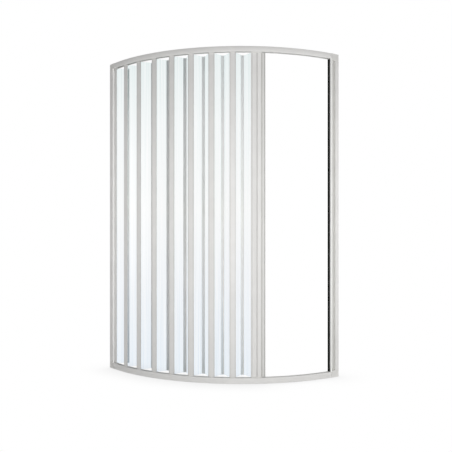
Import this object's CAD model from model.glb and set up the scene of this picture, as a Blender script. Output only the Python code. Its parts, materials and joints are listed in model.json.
"""Looks of the quarter-round concertina shower enclosure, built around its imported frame."""

import json
import math

import bmesh
import bpy
from mathutils import Matrix, Vector


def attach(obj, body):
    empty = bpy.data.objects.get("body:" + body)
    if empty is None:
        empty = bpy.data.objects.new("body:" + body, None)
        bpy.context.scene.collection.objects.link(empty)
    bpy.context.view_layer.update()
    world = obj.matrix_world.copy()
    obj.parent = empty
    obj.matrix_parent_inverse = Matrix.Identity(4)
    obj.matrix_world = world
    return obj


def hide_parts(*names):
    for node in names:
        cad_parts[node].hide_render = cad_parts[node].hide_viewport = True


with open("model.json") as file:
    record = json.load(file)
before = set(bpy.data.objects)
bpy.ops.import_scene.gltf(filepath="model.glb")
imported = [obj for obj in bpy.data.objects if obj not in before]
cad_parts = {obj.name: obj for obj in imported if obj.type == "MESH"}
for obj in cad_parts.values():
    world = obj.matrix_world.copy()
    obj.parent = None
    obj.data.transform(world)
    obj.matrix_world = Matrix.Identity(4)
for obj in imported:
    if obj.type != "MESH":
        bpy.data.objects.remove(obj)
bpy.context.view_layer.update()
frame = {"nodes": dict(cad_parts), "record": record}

# Sizes that the looks share with the part, in metres
HEIGHT = 1.85
RADIUS = 0.975
RAIL_DEPTH = 0.030
TOP_RAIL_H = 0.030
BOTTOM_RAIL_H = 0.032
RAIL_WALL = 0.0022
LIP = 0.003
LIP_REACH = 0.007
RAIL_FLOOR = 0.005
JAMB_FACE = 0.033
STRIKE_FACE = 0.056
NOSE_W = 0.005
JAMB_BACK = 0.9473
JAMB_FRONT = 0.9727
MAGNET_EDGE = 0.9608
STRIP_R = 0.962
STRIP_FRONT = 0.005
HINGE_R = 0.957
WALL_FOOT = 0.034
WALL_HEAD = 1.818
STILE_END = 0.053
SEAL_BACK = -0.012
SEAL_FRONT = 0.001
SEAL_NOSE = -0.001
MAGNET_DEEP = 0.003
CLOSING_REACH = 0.0623
CLOSING_MIDDLE = 0.0065
CLOSING_LEAN = 0.126
SCREW_R = 0.960
SCREW_Y = 0.014
SCREW_HEAD_R = 0.004
SCREW_HEAD_T = 0.0024
SCREW_SHANK_R = 0.0019
CORNER_SCREW_LENGTH = 0.060
JAMB_SCREW_LENGTH = 0.009
CROSS_WIDE = 0.00045
CROSS_LONG = 0.0019
JAMB_SCREW_Y = 0.0135
JAMB_SCREW_HEIGHTS = (0.115, 0.925, 1.735)
FIRST_ANGLE = math.radians(2.64 - 90.0)
PITCH_ANGLE = math.radians(7.03)
PLEATS = 8
STILE_ANGLE = FIRST_ANGLE + PLEATS * PITCH_ANGLE
HALF_STRIP = 0.0175
FINGER_GROOVE = (0.038, 0.047)
SOCKET_FRONT = 0.0021
SOCKET_SIDE = 0.0120
CHAMBER_Y = 0.0195
RECESS_FLOOR = 0.9617
CORNER = Vector((-RADIUS / 2, RADIUS / 2, 0.0))
BODIES = frame["record"]["behaviour"]["bodies"]
BODY_OF = {node: body for body, nodes in BODIES.items() for node in nodes}

# How near counts as touching, and how slight a turn as flat
MERGE = 2e-6
ON_PLANE = 1e-5
HAIR = 0.0002
NEAR = 0.0005
FLAT = math.radians(0.4)
SHARP = math.radians(32.0)

# Finer detail of the pieces
RAIL_STEPS = 96
RAIL_EDGE_R = 0.002
ROUNDED_CORNERS = (0, 9, 13, 14)
LINE_AT = 0.0135
LINE_WIDE = 0.0016
LINE_DEEP = 0.0006
EDGE_BAND = 0.0062
STILE_EDGE_BAND = 0.0108
BAND_FADE = 0.0016
FINE_EDGE = 0.0003
STRIP_EDGE = 0.0004
PROFILE_EDGE = 0.0005
STILE_EDGE = 0.0006
RUNNER_EDGE = 0.0008
BLOCK_EDGE = 0.0009
BLOCK_MARGIN = 0.0035
BLOCK_STEP = 0.0006
HEAD_TAPER = 0.82
CROSS_DEPTH = SCREW_HEAD_T * 0.55
CROSS_TAPER = 0.7
TRIM_THICK = 0.001
TRIM_GAP = 0.0004
TRIM_PROUD = 0.0006
MAGNET_SPREAD_BACK = 0.0016
MAGNET_SPREAD_FRONT = 0.0012
GASKET_POCKET = (-0.011, -0.002)

# Corners of the gasket's lip: how far each lies behind the gasket's front, and below its nose
GASKET_LIP = ((0.0002, 0.002), (0.0, 0.0042), (0.0012, 0.0052), (0.0, 0.0062))

# Where the clear free edge of an inner strip begins, across the strip. Inner strips 2 and 3 have none, as
# they are white up to their free edge.
INNER_CLEAR_EDGE = {1: -0.0130, 4: -0.0147, 5: -0.0147, 6: -0.0130, 7: -0.0125, 8: -0.0125}

# Camera, as in the photograph
CAMERA_PLACE = (3.0625, -2.1272, 0.8647)
CAMERA_HEADING = math.radians(54.733)
CAMERA_LENS = 50.0

# Light. Each soft box stands at an angle, in degrees, and a distance from the room corner.
WORLD_LIGHT = 0.225
SOFT_BOXES = {
    "key": {"angle": -31.0, "distance": 3.0, "height": 1.0, "size": 1.3, "power": 25.5},
    "side": {"angle": 20.0, "distance": 3.0, "height": 1.0, "size": 1.8, "power": 20.0},
    "fill": {"angle": -82.0, "distance": 2.3, "height": 1.0, "size": 1.0, "power": 6.5},
    "back": {"angle": 135.0, "distance": 2.4, "height": 1.4, "size": 1.6, "power": 16.0},
}
FLOOR_SIZE = 60.0
FLOOR_TONE = (0.86, 0.86, 0.86, 1.0)
SHADOW_REACH = 0.22
SHADOW_DEPTH = 0.70

# Colours, linear
WHITE = (1.0, 1.0, 1.0, 1.0)
DUSTY = (0.955, 0.955, 0.955, 1.0)
SHADED = (0.6, 0.6, 0.6, 1.0)

# Finish. A scale is in cells for each metre, and a stretch draws a pattern out along the profile.
LINE_SCALE = 420.0
LINE_STRETCH = 0.012
MOTTLE_SCALE = 9.0
GRAIN_SCALE = 2600.0
RELIEF = 0.0004
WAVE_SCALE = 60.0
WAVE_STRETCH = 0.02
WAVE_RELIEF = 0.0006
STREAK_SCALE = 130.0
STREAK_STRETCH = 0.01
STREAK_SHARE = 0.45
SHEET_ROUGHNESS = 0.18
GLOSS_FACING = 0.005
GLOSS_SLANTED = 0.36
SPECK_RELIEF = 0.0002
SPECK_TONE = 0.85


def linear(r, g, b):
    """A colour given in 0 to 255 steps, as the linear value that a shader takes."""
    steps = [c / 255.0 for c in (r, g, b)]
    return tuple(c / 12.92 if c <= 0.04045 else ((c + 0.055) / 1.055) ** 2.4 for c in steps) + (1.0,)


class Nodes:
    """A material's or the world's node tree, with one short call for each node."""

    def __init__(self, owner):
        owner.use_nodes = True
        self.tree = owner.node_tree
        self.tree.nodes.clear()

    def add(self, kind, values=None, **settings):
        node = self.tree.nodes.new("ShaderNode" + kind)
        for name, value in settings.items():
            setattr(node, name, value)
        for name, value in (values or {}).items():
            if isinstance(value, bpy.types.NodeSocket):
                self.tree.links.new(value, node.inputs[name])
            else:
                node.inputs[name].default_value = value
        return node

    def math(self, operation, a, b=0.0, clamp=False):
        return self.add("Math", {0: a, 1: b}, operation=operation, use_clamp=clamp).outputs[0]

    def place(self):
        return self.add("TexCoord").outputs["Object"]

    def split(self, vector):
        return self.add("SeparateXYZ", {0: vector}).outputs

    def joined(self, x, y, z):
        return self.add("CombineXYZ", {0: x, 1: y, 2: z}).outputs[0]

    def stretched(self, vector, by):
        return self.add("VectorMath", {0: vector, 1: by}, operation="MULTIPLY").outputs[0]

    def noise(self, vector, scale, detail=2.0, roughness=0.5):
        values = {"Vector": vector, "Scale": scale, "Detail": detail, "Roughness": roughness}
        return self.add("TexNoise", values).outputs["Fac"]

    def ramp(self, factor, stops):
        node = self.add("ValToRGB", {0: factor})
        bar = node.color_ramp
        while len(bar.elements) < len(stops):
            bar.elements.new(0.5)
        for element, (at, colour) in zip(bar.elements, stops):
            element.position = at
            element.color = colour
        return node.outputs["Color"]

    def remap(self, value, low, high, to_low, to_high, kind="LINEAR"):
        values = {0: value, 1: low, 2: high, 3: to_low, 4: to_high}
        return self.add("MapRange", values, interpolation_type=kind).outputs[0]

    def mixed_colour(self, factor, a, b, blend="MIX"):
        node = self.add("Mix", data_type="RGBA", blend_type=blend)
        for socket, value in ((0, factor), (6, a), (7, b)):
            if isinstance(value, bpy.types.NodeSocket):
                self.tree.links.new(value, node.inputs[socket])
            else:
                node.inputs[socket].default_value = value
        return node.outputs[2]

    def finish(self, shader, kind="OutputMaterial"):
        self.add(kind, {"Surface": shader})


# Camera, light and floor

def add_camera():
    data = bpy.data.cameras.new("photo_camera")
    data.lens = CAMERA_LENS
    data.sensor_width = 36.0
    data.sensor_fit = "HORIZONTAL"
    data.clip_start = 0.05
    data.clip_end = 100.0
    camera = bpy.data.objects.new("photo_camera", data)
    camera.location = CAMERA_PLACE
    camera.rotation_euler = (math.pi / 2, 0.0, CAMERA_HEADING)
    bpy.context.scene.collection.objects.link(camera)
    bpy.context.scene.camera = camera


def seen_directly(nodes):
    """1 for rays from the camera, from a mirror-like surface and through a clear sheet, otherwise 0."""
    ray = nodes.add("LightPath").outputs
    either = nodes.math("MAXIMUM", ray["Is Camera Ray"], ray["Is Glossy Ray"])
    return nodes.math("MAXIMUM", either, ray["Is Transmission Ray"])


def light_world():
    world = bpy.data.worlds.new("studio")
    bpy.context.scene.world = world
    nodes = Nodes(world)
    lit = nodes.add("Background", {"Color": WHITE, "Strength": WORLD_LIGHT})
    seen = nodes.add("Background", {"Color": WHITE, "Strength": 1.0})
    both = nodes.add("MixShader", {0: seen_directly(nodes), 1: lit.outputs[0], 2: seen.outputs[0]})
    nodes.finish(both.outputs[0], "OutputWorld")


def add_soft_box(name, angle, distance, height, size, power):
    """A square soft light that looks at the nearest part of the curve, at its middle height."""
    data = bpy.data.lights.new(name, "AREA")
    data.shape = "SQUARE"
    data.size = size
    data.energy = power
    lamp = bpy.data.objects.new(name, data)
    polar = math.radians(angle)
    lamp.location = CORNER + Vector((math.cos(polar) * distance, math.sin(polar) * distance, height))
    aim = CORNER + Vector((RADIUS * math.cos(polar), RADIUS * math.sin(polar), HEIGHT / 2))
    lamp.rotation_euler = (aim - lamp.location).to_track_quat("-Z", "Y").to_euler()
    lamp.visible_camera = False
    bpy.context.scene.collection.objects.link(lamp)


def add_floor():
    mesh = bpy.data.meshes.new("floor")
    shape = bmesh.new()
    bmesh.ops.create_grid(shape, x_segments=1, y_segments=1, size=FLOOR_SIZE / 2)
    shape.to_mesh(mesh)
    shape.free()
    floor = bpy.data.objects.new("floor", mesh)
    bpy.context.scene.collection.objects.link(floor)
    material = bpy.data.materials.new("pale_floor")
    nodes = Nodes(material)
    matt = nodes.add("BsdfDiffuse", {"Color": FLOOR_TONE})
    open_share = nodes.add("AmbientOcclusion", {"Distance": SHADOW_REACH}, samples=8).outputs["AO"]
    strength = nodes.remap(open_share, 0.0, 1.0, SHADOW_DEPTH, 1.0)
    glow = nodes.add("Emission", {"Color": WHITE, "Strength": strength})
    both = nodes.add("MixShader", {0: seen_directly(nodes), 1: matt.outputs[0], 2: glow.outputs[0]})
    nodes.finish(both.outputs[0])
    mesh.materials.append(material)


# Materials

def curve_place(nodes):
    """Object coordinates as distance along the rails' curve, distance from the room corner, and height."""
    centred = nodes.add("VectorMath", {0: nodes.place(), 1: tuple(CORNER)}, operation="SUBTRACT").outputs[0]
    x, y, z = nodes.split(centred)
    along = nodes.math("MULTIPLY", nodes.math("ARCTAN2", y, x), RADIUS)
    flat = nodes.joined(x, y, 0.0)
    out = nodes.add("VectorMath", {0: flat}, operation="LENGTH").outputs["Value"]
    return nodes.joined(along, out, z)


def strip_edges(nodes, left_band):
    """1 in the bands along both edges of an outer strip, where its hinges lie, otherwise 0."""
    along = nodes.split(curve_place(nodes))[0]
    step = nodes.math("DIVIDE", nodes.math("SUBTRACT", along, FIRST_ANGLE * RADIUS), PITCH_ANGLE * RADIUS)
    off = nodes.math("SUBTRACT", step, nodes.math("ROUND", step))
    across = nodes.math("MULTIPLY", off, PITCH_ANGLE * STRIP_R)
    from_left = left_band - HALF_STRIP
    from_right = HALF_STRIP - EDGE_BAND
    outside = nodes.math("ABSOLUTE", across)
    left = nodes.remap(across, from_left, from_left - BAND_FADE, 0.0, 1.0, "SMOOTHSTEP")
    right = nodes.remap(across, from_right, from_right + BAND_FADE, 0.0, 1.0, "SMOOTHSTEP")
    beyond = nodes.remap(outside, HALF_STRIP, HALF_STRIP + BAND_FADE, 1.0, 0.0, "SMOOTHSTEP")
    return nodes.math("MULTIPLY", nodes.math("ADD", left, right), beyond)


def plastic(name, colour, roughness, curved=False, bands=0.0, left_band=EDGE_BAND, grain=0.0, heights=None):
    """Extruded or moulded plastic: drawing lines along the profile, faint mottling and a low sheen.

    The bands darken a strip's edges, and heights, if given, are colours by the share of the full height.
    """
    material = bpy.data.materials.new(name)
    nodes = Nodes(material)
    place = curve_place(nodes) if curved else nodes.place()
    if heights:
        colour_here = nodes.ramp(nodes.math("DIVIDE", nodes.split(place)[2], HEIGHT), heights)
    else:
        colour_here = colour
    drawn = nodes.stretched(place, (LINE_STRETCH, 1.0, 1.0) if curved else (1.0, 1.0, LINE_STRETCH))
    lines = nodes.noise(drawn, LINE_SCALE, 3.0, 0.6)
    mottle = nodes.noise(place, MOTTLE_SCALE, 3.0, 0.55)
    tone = nodes.mixed_colour(nodes.remap(mottle, 0.35, 0.65, 0.0, 0.8), colour_here, DUSTY, "MULTIPLY")
    tone = nodes.mixed_colour(nodes.remap(lines, 0.3, 0.7, 0.0, 0.35), tone, DUSTY, "MULTIPLY")
    relief = lines
    if bands:
        share = nodes.math("MULTIPLY", strip_edges(nodes, left_band), bands)
        tone = nodes.mixed_colour(share, tone, SHADED, "MULTIPLY")
    if grain:
        pits = nodes.noise(place, GRAIN_SCALE, 2.0, 0.6)
        relief = nodes.math("ADD", lines, nodes.math("MULTIPLY", pits, grain))
    sheen_map = nodes.remap(nodes.math("ADD", lines, mottle), 0.7, 1.3, roughness - 0.05, roughness + 0.07)
    bump = nodes.add("Bump", {"Strength": 0.12, "Distance": RELIEF, "Height": relief}).outputs[0]
    values = {"Base Color": tone, "Roughness": sheen_map, "Normal": bump, "IOR": 1.5}
    nodes.finish(nodes.add("BsdfPrincipled", values).outputs[0])
    return material


def clear_sheet(name, stops):
    """Clear acrylic, glossy at a slant: each stop is a share of the full height and the tint there."""
    material = bpy.data.materials.new(name)
    nodes = Nodes(material)
    place = nodes.place()
    height = nodes.math("DIVIDE", nodes.split(place)[2], HEIGHT)
    tint = nodes.ramp(height, stops)
    waves = nodes.noise(nodes.stretched(place, (1.0, 1.0, WAVE_STRETCH)), WAVE_SCALE, 1.0, 0.4)
    streaks = nodes.noise(nodes.stretched(place, (1.0, 1.0, STREAK_STRETCH)), STREAK_SCALE, 2.0, 0.6)
    tint = nodes.mixed_colour(nodes.remap(streaks, 0.35, 0.65, 0.0, STREAK_SHARE), tint, WHITE)
    bump = nodes.add("Bump", {"Strength": 0.10, "Distance": WAVE_RELIEF, "Height": waves}).outputs[0]
    through = nodes.add("BsdfTransparent", {"Color": tint})
    gloss = nodes.add("BsdfGlossy", {"Color": WHITE, "Roughness": SHEET_ROUGHNESS, "Normal": bump})
    slant = nodes.add("LayerWeight", {"Blend": 0.5, "Normal": bump}).outputs["Facing"]
    share = nodes.remap(nodes.math("POWER", slant, 5.0), 0.0, 1.0, GLOSS_FACING, GLOSS_SLANTED)
    nodes.finish(nodes.add("MixShader", {0: share, 1: through.outputs[0], 2: gloss.outputs[0]}).outputs[0])
    return material


def speckled(name, colour, roughness, metallic=0.0, scale=600.0, gloss=0.5):
    """An even finish with a fine speck: nylon, magnet rubber, gasket rubber or zinc-plated steel."""
    material = bpy.data.materials.new(name)
    nodes = Nodes(material)
    speck = nodes.noise(nodes.place(), scale, 2.0, 0.5)
    darker = tuple(c * SPECK_TONE for c in colour[:3]) + (1.0,)
    tone = nodes.mixed_colour(nodes.remap(speck, 0.35, 0.65, 0.0, 1.0), colour, darker)
    sheen_map = nodes.remap(speck, 0.3, 0.7, roughness - 0.04, roughness + 0.06)
    bump = nodes.add("Bump", {"Strength": 0.15, "Distance": SPECK_RELIEF, "Height": speck}).outputs[0]
    values = {"Base Color": tone, "Metallic": metallic, "Roughness": sheen_map,
              "Specular IOR Level": gloss, "Normal": bump}
    nodes.finish(nodes.add("BsdfPrincipled", values).outputs[0])
    return material


# Pieces

def merged_copy(node):
    """A node's mesh with its loose triangles joined and its flat faces made whole."""
    shape = bmesh.new()
    shape.from_mesh(frame["nodes"][node].data)
    bmesh.ops.remove_doubles(shape, verts=shape.verts, dist=MERGE)
    bmesh.ops.dissolve_limit(shape, angle_limit=FLAT, verts=shape.verts, edges=shape.edges)
    return shape


def finished(name, shape, material, body, nodes=(), edge=0.0, segments=2, details=()):
    """Makes a piece of a bmesh, rounds its sharp edges, and hangs it on its body.

    Each of the details is a further material and a test of the faces that take it.
    """
    for face in shape.faces:
        face.smooth = True
    mesh = bpy.data.meshes.new(name)
    shape.to_mesh(mesh)
    shape.free()
    mesh.materials.append(material)
    mesh.set_sharp_from_angle(angle=SHARP)
    piece = bpy.data.objects.new(name, mesh)
    bpy.context.scene.collection.objects.link(piece)
    if edge:
        rounding = piece.modifiers.new("rounded_edges", "BEVEL")
        rounding.width = edge
        rounding.segments = segments
        rounding.limit_method = "ANGLE"
        rounding.angle_limit = SHARP
        rounding.harden_normals = True
        rounding.miter_outer = "MITER_ARC"
    for extra, chosen in details:
        mesh.materials.append(extra)
        for face in mesh.polygons:
            if chosen(face):
                face.material_index = len(mesh.materials) - 1
    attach(piece, body)
    if nodes:
        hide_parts(*nodes)
    return piece


def refine(node, material, edge, details=(), shape=None):
    """A finer stand-in for a node: the same form, or the shape that is given, with its edges rounded."""
    if shape is None:
        shape = merged_copy(node)
    return finished(node + "_fine", shape, material, BODY_OF[node], [node], edge, 2, details)


def in_strip(point, angle):
    """A point in a strip's own frame: out from the circle of hinges, and across along the curve."""
    turned = Matrix.Rotation(-angle, 3, "Z") @ (Vector(point) - CORNER)
    return turned.x - HINGE_R, turned.y


def beside_front(angle):
    """Tests for a strip's edges, hinge sockets and back: all faces but those that look straight out."""
    out = Vector((math.cos(angle), math.sin(angle), 0.0))
    return lambda face: face.normal.dot(out) < 0.5


def beside_fixed_strip(face):
    """Tests for the edge, socket and back of the fixed strip, on the part of the left jamb beyond its box."""
    return face.center.x - CORNER.x > JAMB_FACE + NEAR and beside_front(FIRST_ANGLE)(face)


def hinge_socket(angle, sides=(-1.0, 1.0)):
    """Tests for the soft hinge sockets behind a strip's edges."""
    def test(face):
        out, across = in_strip(face.center, angle)
        return out < SOCKET_FRONT and any(side * across > SOCKET_SIDE for side in sides)
    return test


def in_rail_hollow(face):
    """Tests for a rail's inner faces."""
    out = (face.center - CORNER).xy.length
    deep = max(face.center.z - (HEIGHT - TOP_RAIL_H), BOTTOM_RAIL_H - face.center.z)
    between = RADIUS - RAIL_DEPTH + RAIL_WALL / 2 < out < RADIUS - RAIL_WALL / 2
    return between and 2 * HAIR < deep < TOP_RAIL_H - RAIL_WALL / 2


def in_recess(face):
    """Tests for the floor and sides of the recess in the strike jamb."""
    out = face.center.x - CORNER.x
    from_wall = CORNER.y - face.center.y
    beside_nose = CHAMBER_Y < from_wall < STRIKE_FACE - NOSE_W + NEAR
    return beside_nose and RECESS_FLOOR - HAIR < out < JAMB_FRONT - HAIR


def in_finger_groove(face):
    """Tests for the floor and sides of the finger groove in the stile."""
    out, across = in_strip(face.center, STILE_ANGLE)
    low, high = FINGER_GROOVE
    return 0.0 < out < STRIP_FRONT - HAIR and low < across < high


def add_inner_strip(number):
    """An inner strip, cut where its clear free edge begins, so that no face takes both finishes."""
    node = "inner_strip_%d" % number
    shape = merged_copy(node)
    details = []
    if number in INNER_CLEAR_EDGE:
        angle = FIRST_ANGLE + (number - 0.5) * PITCH_ANGLE
        across = Vector((-math.sin(angle), math.cos(angle), 0.0))
        clear_from = INNER_CLEAR_EDGE[number]
        bmesh.ops.bisect_plane(shape, geom=shape.verts[:] + shape.edges[:] + shape.faces[:], dist=MERGE,
                               plane_co=CORNER + across * clear_from, plane_no=across)
        details = [(clear_edge, lambda face: (face.center - CORNER).dot(across) < clear_from - ON_PLANE)]
    return refine(node, inner_plastic, FINE_EDGE, details, shape)


def rail_section(low, high, opening_up):
    """Corners of a rail's section as (radius, height), and the fine line that runs along its face."""
    inner = RADIUS - RAIL_DEPTH
    floor = RAIL_FLOOR if opening_up else RAIL_WALL
    mouth, closed, turn = (high, low, -1.0) if opening_up else (low, high, 1.0)
    line = mouth + turn * LINE_AT
    return [
        (inner, mouth), (inner + LIP_REACH, mouth), (inner + LIP_REACH, mouth + turn * LIP),
        (inner + RAIL_WALL, mouth + turn * LIP), (inner + RAIL_WALL, closed - turn * floor),
        (RADIUS - RAIL_WALL, closed - turn * floor), (RADIUS - RAIL_WALL, mouth + turn * LIP),
        (RADIUS - LIP_REACH, mouth + turn * LIP), (RADIUS - LIP_REACH, mouth), (RADIUS, mouth),
        (RADIUS, line), (RADIUS - LINE_DEEP, line + turn * LINE_WIDE / 2), (RADIUS, line + turn * LINE_WIDE),
        (RADIUS, closed), (inner, closed),
    ]


def add_rail(node, low, high, opening_up, material):
    """A rail spun round the room corner and cut off square where the corner blocks begin."""
    shape = bmesh.new()
    corners = [shape.verts.new(CORNER + Vector((0.0, -r, z))) for r, z in rail_section(low, high, opening_up)]
    for a, b in zip(corners, corners[1:] + corners[:1]):
        shape.edges.new((a, b))
    long_edges = [corners[index] for index in ROUNDED_CORNERS]
    bmesh.ops.bevel(shape, geom=long_edges, offset=RAIL_EDGE_R, offset_type="OFFSET", segments=4, profile=0.5,
                    affect="VERTICES", clamp_overlap=True, material=-1)
    bmesh.ops.spin(shape, geom=shape.verts[:] + shape.edges[:], cent=CORNER, axis=(0.0, 0.0, 1.0),
                   angle=math.pi / 2, steps=RAIL_STEPS, use_duplicate=False)
    for axis in (Vector((1.0, 0.0, 0.0)), Vector((0.0, -1.0, 0.0))):
        bmesh.ops.bisect_plane(shape, geom=shape.verts[:] + shape.edges[:] + shape.faces[:], dist=MERGE,
                               plane_co=CORNER + axis * STRIKE_FACE, plane_no=-axis, clear_outer=True)
        rim = [e for e in shape.edges if e.is_boundary
               and all(abs((v.co - CORNER).dot(axis) - STRIKE_FACE) < ON_PLANE for v in e.verts)]
        bmesh.ops.contextual_create(shape, geom=rim)
    bmesh.ops.recalc_face_normals(shape, faces=shape.faces)
    return finished(node + "_channel", shape, material, "frame", [node], STRIP_EDGE, 2,
                    [(rail_inside, in_rail_hollow)])


def add_corner_block(node, outward):
    """A moulded block with a shallow framed panel on the face that shows."""
    shape = merged_copy(node)
    face = max((f for f in shape.faces if f.normal.dot(outward) > 0.99), key=lambda f: f.calc_area())
    bmesh.ops.inset_region(shape, faces=[face], thickness=BLOCK_MARGIN, depth=0.0, use_even_offset=True)
    bmesh.ops.inset_region(shape, faces=[face], thickness=BLOCK_STEP, depth=-BLOCK_STEP, use_even_offset=True)
    return finished(node + "_moulded", shape, moulded_plastic, "frame", [node],
                    BLOCK_EDGE, 3)


def screw_head(shape):
    """A pan head with a cross recess, standing on the level z = 0 and facing up."""
    made = bmesh.ops.create_cone(shape, cap_ends=True, segments=32, radius1=SCREW_HEAD_R,
                                 radius2=SCREW_HEAD_R * HEAD_TAPER, depth=SCREW_HEAD_T,
                                 matrix=Matrix.Translation((0.0, 0.0, SCREW_HEAD_T / 2)))
    parts = set(made["verts"])
    for axis in (Vector((1.0, 0.0, 0.0)), Vector((0.0, 1.0, 0.0))):
        for away in (-CROSS_LONG, -CROSS_WIDE, CROSS_WIDE, CROSS_LONG):
            top = [f for f in shape.faces if f.normal.z > 0.99 and all(v in parts for v in f.verts)]
            around = dict.fromkeys(item for f in top for item in (*f.edges, *f.verts))
            cut = bmesh.ops.bisect_plane(shape, geom=top + list(around), dist=MERGE,
                                         plane_co=axis * away, plane_no=axis)
            parts.update(item for item in cut["geom_cut"] if isinstance(item, bmesh.types.BMVert))
    cross = []
    for face in shape.faces:
        middle = face.calc_center_median()
        near, far = sorted((abs(middle.x), abs(middle.y)))
        on_top = face.normal.z > 0.99 and all(v in parts for v in face.verts)
        if on_top and near < CROSS_WIDE and far < CROSS_LONG:
            cross.append(face)
    pushed = bmesh.ops.extrude_face_region(shape, geom=cross)
    bottom = [item for item in pushed["geom"] if isinstance(item, bmesh.types.BMVert)]
    bmesh.ops.translate(shape, verts=bottom, vec=(0.0, 0.0, -CROSS_DEPTH))
    bmesh.ops.scale(shape, verts=bottom, vec=(CROSS_TAPER, CROSS_TAPER, 1.0))


def add_screws(node, places, length):
    """One piece of many screws: each place is the seat of a head and the way that it faces."""
    shape = bmesh.new()
    for seat, facing in places:
        single = bmesh.new()
        screw_head(single)
        bmesh.ops.create_cone(single, cap_ends=True, segments=24, radius1=SCREW_SHANK_R,
                              radius2=SCREW_SHANK_R, depth=length,
                              matrix=Matrix.Translation((0.0, 0.0, -length / 2)))
        turn = Vector(facing).to_track_quat("Z", "Y").to_matrix().to_4x4()
        single.transform(Matrix.Translation(seat) @ turn)
        mesh = bpy.data.meshes.new("one_screw")
        single.to_mesh(mesh)
        single.free()
        shape.from_mesh(mesh)
        bpy.data.meshes.remove(mesh)
    bmesh.ops.recalc_face_normals(shape, faces=shape.faces)
    return finished(node + "_fine", shape, screw_steel, "frame", [node], FINE_EDGE, 2)


def add_bar(name, x_span, y_span, material, edge, nodes=()):
    """A long rounded bar that stands between the rails. Its spans are measured from the room corner."""
    low = CORNER + Vector((x_span[0], y_span[0], BOTTOM_RAIL_H))
    high = CORNER + Vector((x_span[1], y_span[1], HEIGHT - TOP_RAIL_H))
    shape = bmesh.new()
    middle = Matrix.Translation((low + high) / 2)
    bmesh.ops.create_cube(shape, size=1.0, matrix=middle @ Matrix.Diagonal((*(high - low), 1.0)))
    long_edges = [e for e in shape.edges if abs((e.verts[0].co - e.verts[1].co).z) > HEIGHT / 2]
    bmesh.ops.bevel(shape, geom=long_edges, offset=edge, offset_type="OFFSET", segments=3, profile=0.5,
                    affect="EDGES", clamp_overlap=True, material=-1)
    return finished(name, shape, material, "frame", nodes)


def add_gasket():
    """The soft closing profile: a long gasket with a pocket for the magnet and a lip towards the outside."""
    def face(out):
        """How far across the leaning closing face stands, at a distance out from the hinges."""
        return CLOSING_REACH + (out + CLOSING_MIDDLE) * CLOSING_LEAN
    start, end = GASKET_POCKET
    nose = face(SEAL_NOSE)
    outline = [
        (SEAL_BACK, STILE_END), (SEAL_BACK, face(SEAL_BACK)),
        (start, face(start)), (start, face(start) - MAGNET_DEEP),
        (end, face(end) - MAGNET_DEEP), (end, face(end)), (SEAL_NOSE, nose),
    ]
    outline += [(SEAL_FRONT - behind, nose - below) for behind, below in GASKET_LIP]
    outline.append((SEAL_FRONT, STILE_END))
    shape = bmesh.new()
    ring = [shape.verts.new((x, y, WALL_FOOT)) for x, y in outline]
    foot = shape.faces.new(ring)
    raised = bmesh.ops.extrude_face_region(shape, geom=[foot])
    top = [item for item in raised["geom"] if isinstance(item, bmesh.types.BMVert)]
    bmesh.ops.translate(shape, verts=top, vec=(0.0, 0.0, WALL_HEAD - WALL_FOOT))
    bmesh.ops.recalc_face_normals(shape, faces=shape.faces)
    turn = Matrix.Translation(CORNER) @ Matrix.Rotation(STILE_ANGLE, 4, "Z")
    shape.transform(turn @ Matrix.Translation((HINGE_R, 0.0, 0.0)))
    return finished("stile_gasket", shape, soft_seal, "stile", ["stile_seal"], STRIP_EDGE)


def dress(names, material):
    """Gives nodes a finish and leaves their meshes as they are."""
    for name in names:
        mesh = frame["nodes"][name].data
        mesh.materials.clear()
        mesh.materials.append(material)


add_camera()
light_world()
for name, settings in SOFT_BOXES.items():
    add_soft_box(name, **settings)
add_floor()

# Finishes
PALE = linear(222, 221, 219)
strip_plastic = plastic("strip_plastic", PALE, 0.42, bands=0.42)
stile_plastic = plastic("stile_plastic", PALE, 0.42, bands=0.38, left_band=STILE_EDGE_BAND, heights=[
    (0.03, linear(224, 223, 221)),
    (0.30, linear(218, 217, 215)),
    (0.55, linear(215, 214, 212)),
    (0.80, linear(221, 220, 218)),
    (0.97, linear(228, 227, 225)),
])
hinge_plastic = plastic("hinge_plastic", linear(250, 250, 249), 0.45)
profile_plastic = plastic("profile_plastic", PALE, 0.42)
recess_plastic = plastic("recess_plastic", linear(236, 235, 232), 0.42)
groove_plastic = plastic("groove_plastic", linear(197, 196, 192), 0.5)
inner_plastic = plastic("inner_profile_plastic", PALE, 0.42, heights=[
    (0.02, (1.0, 0.94, 0.86, 1.0)),
    (0.30, (0.96, 0.92, 0.875, 1.0)),
    (0.55, (0.85, 0.845, 0.83, 1.0)),
    (0.80, (0.93, 0.885, 0.88, 1.0)),
    (0.98, (1.0, 0.93, 0.93, 1.0)),
])
top_rail_plastic = plastic("top_rail_plastic", PALE, 0.42, curved=True, heights=[
    (0.984, linear(231, 230, 228)),
    (0.9915, linear(229, 228, 226)),
    (0.9935, linear(221, 220, 218)),
    (1.0, linear(220, 219, 217)),
])
rail_plastic = plastic("rail_plastic", PALE, 0.42, curved=True)
rail_inside = plastic("rail_inside", linear(214, 214, 211), 0.6, curved=True)
moulded_plastic = plastic("moulded_plastic", linear(219, 218, 215), 0.48, grain=0.5)
trim_plastic = plastic("white_trim", linear(254, 254, 252), 0.35)
nose_plastic = plastic("nose_trim", linear(246, 246, 243), 0.4)
soft_seal = speckled("soft_seal", linear(198, 198, 195), 0.5)
black_rubber = speckled("black_magnet", linear(5, 5, 5), 0.7, gloss=0.02)
nylon = speckled("runner_nylon", linear(232, 231, 228), 0.4)
screw_steel = speckled("screw_steel", linear(190, 190, 192), 0.3, 1.0, 1500.0)
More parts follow.
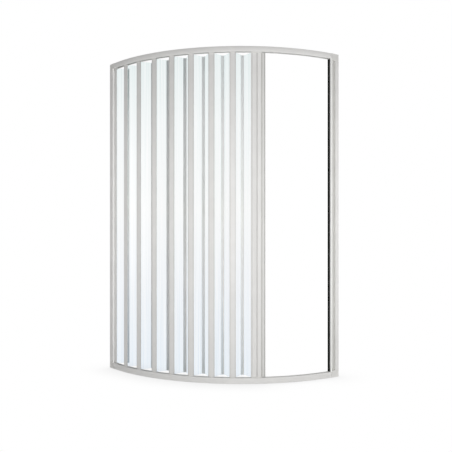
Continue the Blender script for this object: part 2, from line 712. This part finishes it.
clear = clear_sheet("clear_panel", [
    (0.03, (0.885, 0.923, 0.958, 1.0)),
    (0.30, (0.932, 0.949, 0.966, 1.0)),
    (0.52, (0.968, 0.976, 0.975, 1.0)),
    (0.78, (0.944, 0.964, 0.965, 1.0)),
    (0.98, (0.885, 0.926, 0.926, 1.0)),
])
clear_edge = clear_sheet("clear_edge", [
    (0.05, (0.97, 0.98, 0.985, 1.0)),
    (0.95, (0.97, 0.985, 0.985, 1.0)),
])

# Rails, blocks, wall profiles and jambs, then the folding wall, the screws and the trims
dress([node for node in frame["nodes"] if node.startswith("panel_")], clear)
add_rail("top_rail", HEIGHT - TOP_RAIL_H, HEIGHT, False, top_rail_plastic)
add_rail("bottom_rail", 0.0, BOTTOM_RAIL_H, True, rail_plastic)
for end, outward in (("left", Vector((0.0, -1.0, 0.0))), ("right", Vector((1.0, 0.0, 0.0)))):
    add_corner_block("corner_top_" + end, outward)
    add_corner_block("corner_bottom_" + end, outward)
    refine(end + "_wall_profile", profile_plastic, PROFILE_EDGE)
fixed_strip_finishes = [(hinge_plastic, beside_fixed_strip), (clear_edge, hinge_socket(FIRST_ANGLE, (1.0,)))]
stile_finishes = [(groove_plastic, in_finger_groove), (clear_edge, hinge_socket(STILE_ANGLE, (-1.0,)))]
refine("left_jamb", strip_plastic, STRIP_EDGE, fixed_strip_finishes)
refine("strike_jamb", profile_plastic, PROFILE_EDGE, [(recess_plastic, in_recess)])
refine("leading_stile", stile_plastic, STILE_EDGE, stile_finishes)
refine("stile_caps", moulded_plastic, PROFILE_EDGE)
refine("stile_magnet", black_rubber, FINE_EDGE)
add_gasket()
for number in range(1, PLEATS + 1):
    if number < PLEATS:
        angle = FIRST_ANGLE + number * PITCH_ANGLE
        strip_finishes = [(hinge_plastic, beside_front(angle)), (clear_edge, hinge_socket(angle))]
        refine("outer_strip_%d" % number, strip_plastic, STRIP_EDGE, strip_finishes)
    add_inner_strip(number)
    refine("runners_%d" % number, nylon, RUNNER_EDGE)

wall_left, wall_right = Vector((1.0, 0.0, 0.0)), Vector((0.0, -1.0, 0.0))
add_screws("corner_screws", [
    (CORNER + along * SCREW_Y + out * SCREW_R + Vector((0.0, 0.0, seat)), (0.0, 0.0, facing))
    for along, out in ((wall_left, wall_right), (wall_right, wall_left))
    for seat, facing in ((HEIGHT - SCREW_HEAD_T, 1.0), (SCREW_HEAD_T, -1.0))
], CORNER_SCREW_LENGTH)
add_screws("jamb_screws", [
    (CORNER + along * JAMB_SCREW_Y + out * (RADIUS - RAIL_DEPTH) + Vector((0.0, 0.0, height)), -out)
    for along, out in ((wall_left, wall_right), (wall_right, wall_left))
    for height in JAMB_SCREW_HEIGHTS
], JAMB_SCREW_LENGTH)
add_bar("left_jamb_trim", (JAMB_FACE, JAMB_FACE + TRIM_THICK), (-JAMB_FRONT, -STRIP_R - TRIM_GAP),
        trim_plastic, STRIP_EDGE)
add_bar("strike_magnet_strip", (JAMB_BACK - MAGNET_SPREAD_BACK, MAGNET_EDGE + MAGNET_SPREAD_FRONT),
        (-STRIKE_FACE - MAGNET_DEEP, -STRIKE_FACE), black_rubber, PROFILE_EDGE,
        ["strike_magnet"])
add_bar("strike_nose_trim", (MAGNET_EDGE + MAGNET_SPREAD_FRONT + HAIR, JAMB_FRONT + TRIM_PROUD),
        (-STRIKE_FACE - TRIM_THICK, -STRIKE_FACE + NOSE_W), nose_plastic, PROFILE_EDGE)

view = bpy.context.scene.view_settings
view.view_transform = "Standard"
bpy.context.scene.cycles.transparent_max_bounces = 32
